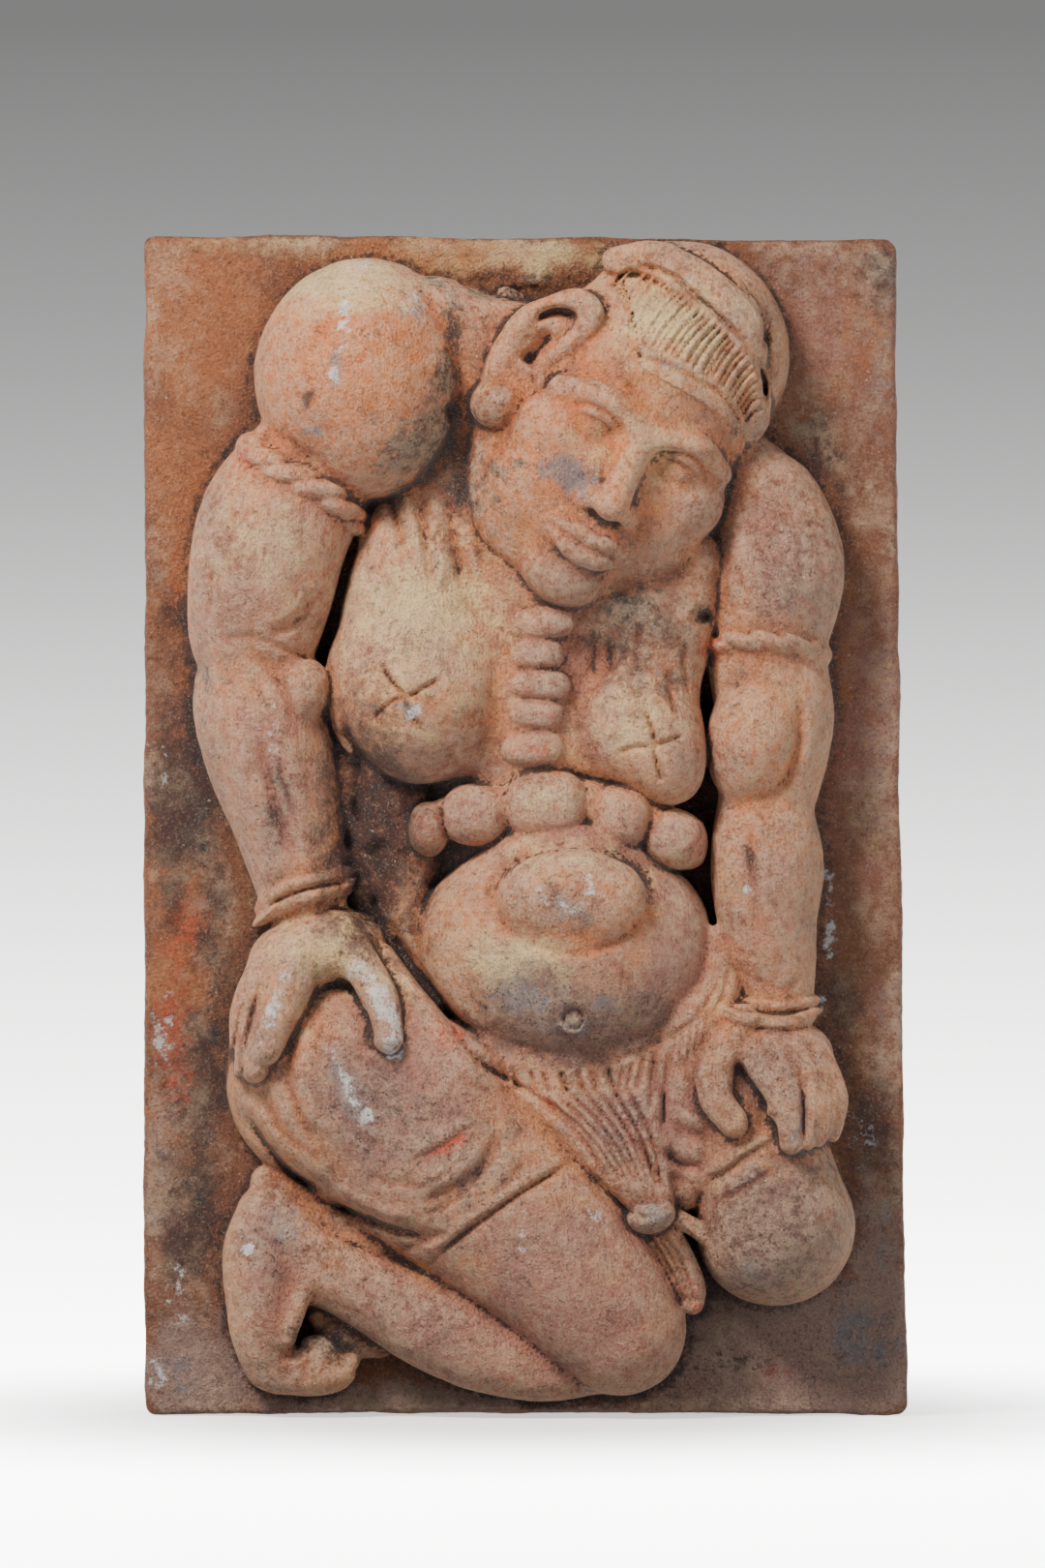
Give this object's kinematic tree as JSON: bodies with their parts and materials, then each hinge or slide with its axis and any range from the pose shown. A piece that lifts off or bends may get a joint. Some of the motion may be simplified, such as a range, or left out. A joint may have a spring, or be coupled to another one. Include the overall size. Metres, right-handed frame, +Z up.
{
  "type": "terracotta relief panel",
  "caption": "Thick rectangular terracotta slab with a kneeling, heavy-bellied strongman in high relief, his hands on his knees and his head bowed to one side.",
  "frame": {"origin": "middle of the slab's underside, which it stands on", "axes": "+Z up the panel, +Y out of its flat back, +X to the right as seen from the front; the relief stands out towards -Y"},
  "size_m": [0.392, 0.1628, 0.611],
  "materials": {
    "terracotta": "unglazed, matt, weathered, with dark soil in the hollows"
  },
  "bodies": {
    "root": {"relief_panel": "terracotta"}
  },
  "joints": []
}
